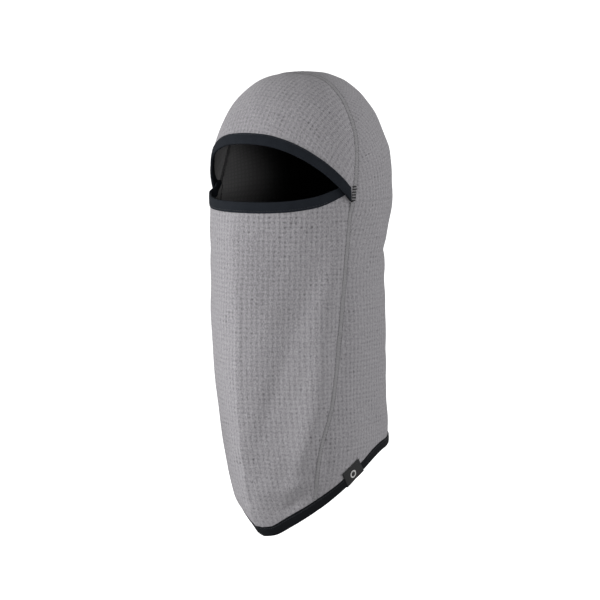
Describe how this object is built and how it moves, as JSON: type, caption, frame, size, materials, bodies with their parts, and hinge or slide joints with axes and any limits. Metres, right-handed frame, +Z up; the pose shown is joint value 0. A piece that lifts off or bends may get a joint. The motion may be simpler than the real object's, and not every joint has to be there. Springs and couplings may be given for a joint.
{
  "type": "balaclava",
  "caption": "Close-fitting stretch-fleece hood with an eye opening, bound edges, flat seams and a face mask that pulls down off the nose.",
  "frame": {"origin": "middle of the wearer's head, level with the corners of the eye opening", "axes": "+Z up, the wearer faces -Y, +X is the wearer's left"},
  "size_m": [0.1612, 0.2114, 0.4343],
  "materials": {
    "fleece": "matte double-face grid fleece",
    "binding_tape": "matte knitted elastic tape",
    "seam_thread": "matte polyester thread",
    "binding_thread": "matte polyester thread",
    "label_weave": "dense woven label",
    "care_satin": "satin ribbon"
  },
  "bodies": {
    "hood": {"crown_panel": "fleece", "face_panel": "fleece", "back_panel_left": "fleece", "back_panel_right": "fleece", "brow_binding": "binding_tape", "hem_binding": "binding_tape", "crown_seam": "seam_thread", "side_seam_left": "seam_thread", "side_seam_right": "seam_thread", "centre_back_seam": "seam_thread", "brow_binding_stitching": "binding_thread", "hem_binding_stitching": "binding_thread", "corner_bartack_left": "seam_thread", "corner_bartack_right": "seam_thread", "hem_label": "label_weave", "hem_label_stitching": "binding_thread", "care_label": "care_satin"},
    "mask_edge": {"nose_binding": "binding_tape", "nose_binding_stitching": "binding_thread"}
  },
  "joints": [
    {"name": "mask_pull_down", "type": "hinge", "parent": "hood", "child": "mask_edge", "pos_m": [0, -0.0329, 0.0104], "axis": [1, 0, 0], "range_deg": [0, 50], "deforming": ["face_panel"]}
  ]
}
